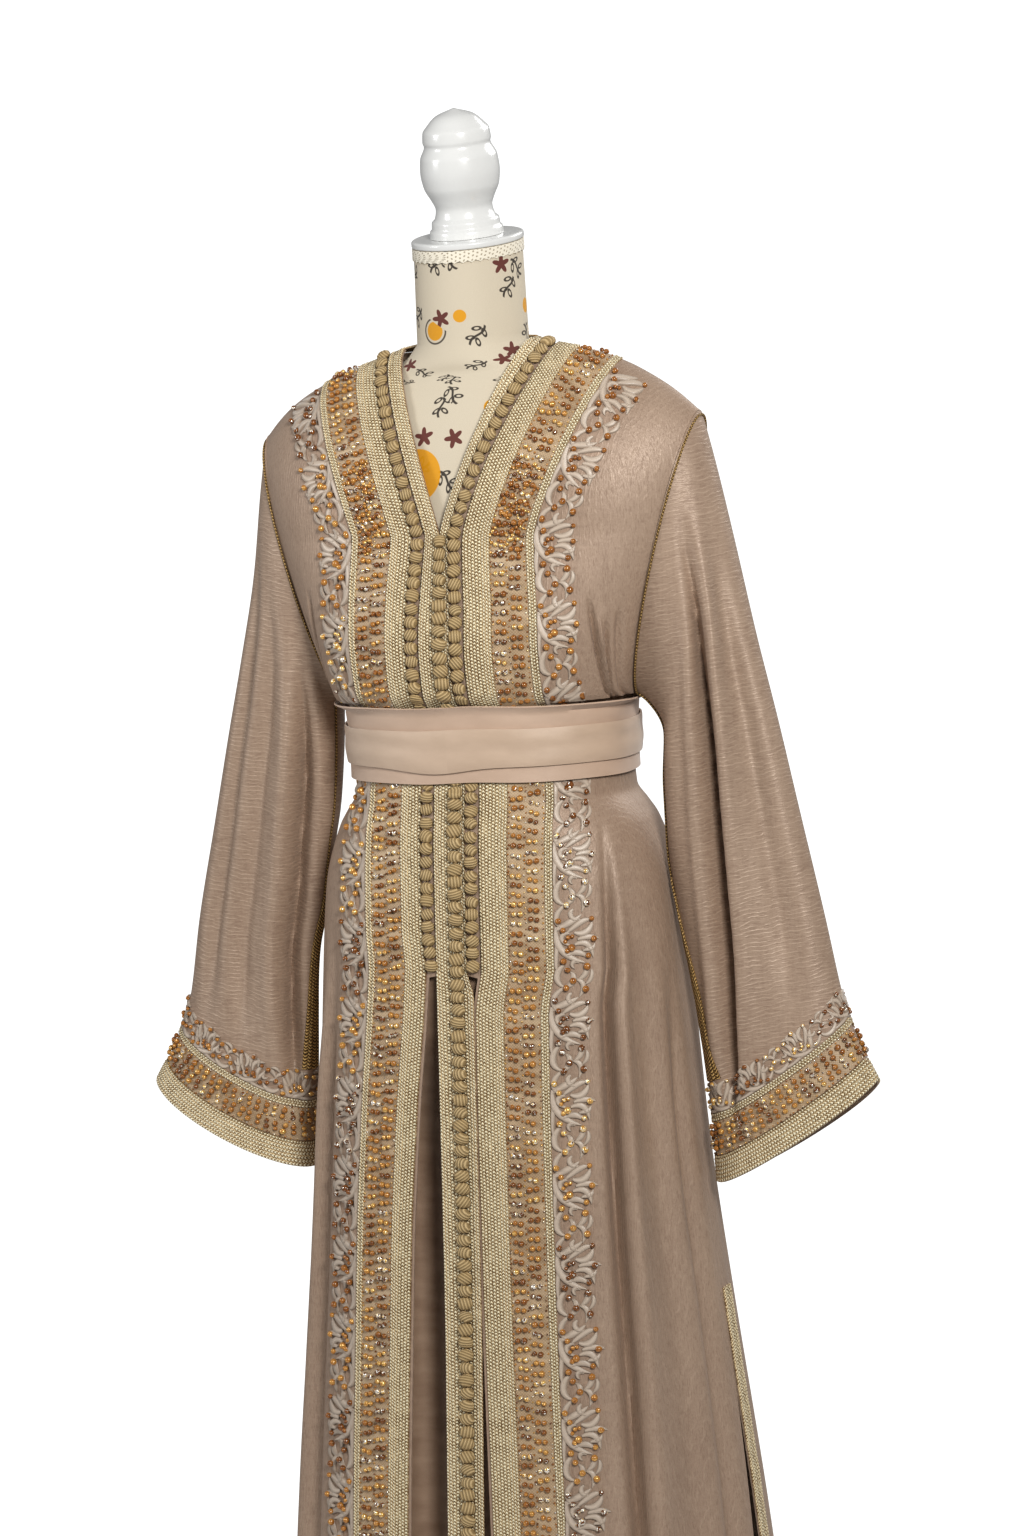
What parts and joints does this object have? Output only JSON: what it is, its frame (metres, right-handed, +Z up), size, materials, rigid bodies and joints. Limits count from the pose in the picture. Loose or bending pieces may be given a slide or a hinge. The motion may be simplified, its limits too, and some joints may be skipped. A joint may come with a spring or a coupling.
{
  "type": "moroccan kaftan on a dress form",
  "caption": "Long taupe satin kaftan with gold braid, knotted buttons, bead bands and corded borders, tied with a folded belt, on a limbless dress form with a round base.",
  "frame": {"origin": "centre of the base's underside, on the floor", "axes": "+Z up; -Y towards the viewer who faces the kaftan's front; +X towards the wearer's left"},
  "size_m": [0.7944, 0.4086, 1.6783],
  "materials": {
    "satin": "taupe mauve slub satin, soft sheen",
    "inner_satin": "darker satin of the inner skirt layer",
    "belt_satin": "lighter plain satin, folded",
    "braid": "woven gold braid with twisted cord edges",
    "knots": "khaki gold passementerie knots",
    "beads": "amber and brown faceted beads sewn close together",
    "cording": "raised corded embroidery with small beads",
    "printed_cotton": "cream cotton cover, matt",
    "lace": "ivory lace edging",
    "stand_white": "gloss white lacquer"
  },
  "bodies": {
    "root": {"aakad_centre": "knots", "aakad_left": "knots", "aakad_right": "knots", "back": "satin", "base": "stand_white", "bead_band_left": "beads", "bead_band_right": "beads", "belt_band": "belt_satin", "belt_wrap": "belt_satin", "centre_strip": "braid", "cuff_beads_left": "beads", "cuff_beads_right": "beads", "cuff_braid_left": "braid", "cuff_braid_right": "braid", "cuff_narrow_left": "braid", "cuff_narrow_right": "braid", "cuff_scroll_left": "cording", "cuff_scroll_right": "cording", "finial": "stand_white", "form_torso": "printed_cotton", "front_left": "satin", "front_right": "satin", "inner_layer": "inner_satin", "narrow_braid_left": "braid", "narrow_braid_right": "braid", "neck_braid_back": "braid", "neck_braid_left": "braid", "neck_braid_right": "braid", "neck_cap": "stand_white", "neck_lace": "lace", "pole": "stand_white", "scroll_border_left": "cording", "scroll_border_right": "cording", "side_braid_left": "braid", "side_braid_right": "braid", "sleeve_left": "satin", "sleeve_right": "satin", "under_seam_braid_left": "braid", "under_seam_braid_right": "braid", "wide_braid_left": "braid", "wide_braid_right": "braid"}
  },
  "joints": []
}
